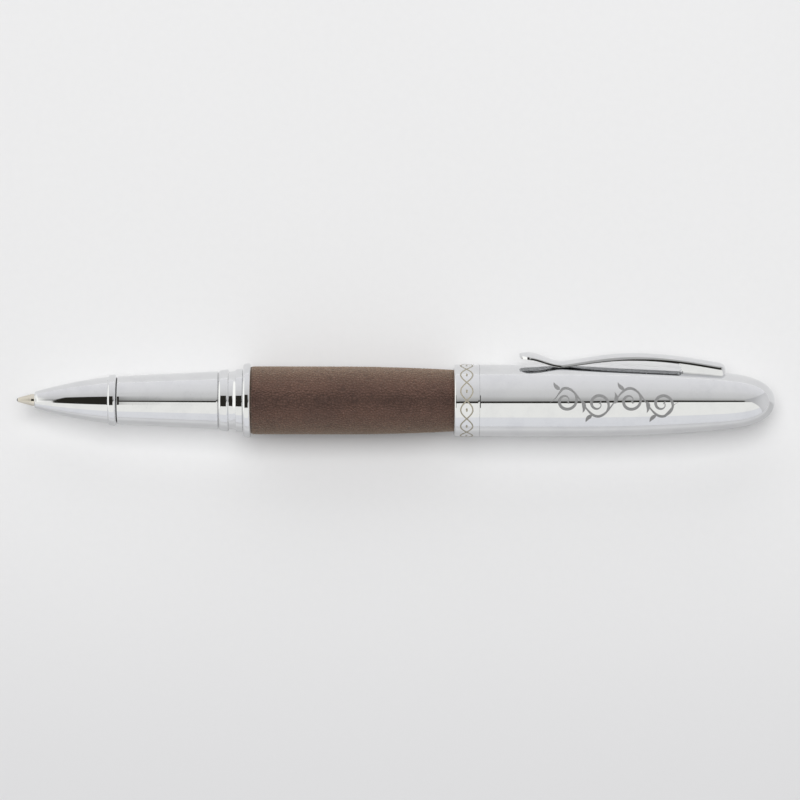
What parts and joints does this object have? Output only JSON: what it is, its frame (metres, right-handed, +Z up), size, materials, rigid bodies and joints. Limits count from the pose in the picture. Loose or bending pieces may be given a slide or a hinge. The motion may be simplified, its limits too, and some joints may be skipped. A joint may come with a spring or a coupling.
{
  "type": "rollerball pen",
  "caption": "Rollerball pen with leather-covered barrel, chrome section, screwed grip, spring clip and a metal cap posted on its tail.",
  "frame": {"origin": "front of the writing ball, on the pen's axis", "axes": "+X along the pen from the writing tip to the cap's end, +Z up with the pen lying on its side, the clip points along +Y and 15 degrees up"},
  "size_m": [0.145, 0.0167, 0.0142],
  "materials": {
    "chrome": "mirror-polished chrome plate with fine wiping scratches",
    "leather": "dark grey-brown pebble-grained leather, semi-matt",
    "brass": "turned brass",
    "steel": "fine-turned stainless steel",
    "satin_metal": "satin-turned aluminium",
    "spring_steel": "drawn spring wire",
    "point_metal": "fine-turned nickel silver, slightly warm",
    "carbide": "ground tungsten carbide",
    "white_plastic": "natural moulded plastic",
    "black_plastic": "black moulded plastic",
    "ink_fibre": "fibre bundle soaked in dark blue ink",
    "etched_metal": "fine matt etched line on the chrome"
  },
  "bodies": {
    "barrel": {"barrel_ring": "chrome", "barrel_tube": "brass", "leather_sleeve": "leather", "thread_bush": "brass", "tail_spigot": "satin_metal", "tail_plug": "satin_metal", "refill_spring": "spring_steel"},
    "refill": {"refill_tip": "point_metal", "tip_holder": "white_plastic", "refill_tube": "steel", "ink_filler": "ink_fibre", "ink_wick": "ink_fibre", "refill_end_plug": "white_plastic"},
    "section": {"nose_cone": "chrome", "grip_tube": "chrome", "section_core": "brass", "snap_collar": "chrome"},
    "ball": {"refill_ball": "carbide"},
    "cap": {"mouth_band": "chrome", "cap_shell": "chrome", "cap_liner": "black_plastic", "dome_insert": "brass", "liner_screw": "steel", "clip_foot": "chrome"},
    "clip": {"clip_arm": "chrome"}
  },
  "joints": [
    {"name": "cap_pull", "type": "slide", "parent": "barrel", "child": "cap", "axis": [1, 0, 0], "range_m": [0, 0.04]},
    {"name": "clip_flex", "type": "hinge", "parent": "cap", "child": "clip", "pos_m": [0.12696, 0.00836, 0.00224], "axis": [0, 0.2588, -0.9659], "range_deg": [0, 5], "stiffness_Nm_per_rad": 0.5, "springref_deg": -1.15},
    {"name": "refill_travel", "type": "slide", "parent": "barrel", "child": "refill", "axis": [-1, 0, 0], "range_m": [0, 0.005], "deforming": ["refill_spring"]},
    {"name": "section_turn", "type": "hinge", "parent": "refill", "child": "section", "pos_m": [0.05, 0, 0], "axis": [-1, 0, 0], "range_deg": [0, 1800]},
    {"name": "ball_roll", "type": "hinge", "parent": "refill", "child": "ball", "pos_m": [0.00035, 0, 0], "axis": [0, 1, 0], "continuous": true}
  ],
  "couplings": [
    {"joint": "section_turn", "follows": "refill_travel", "rad_per_m": 6283}
  ]
}
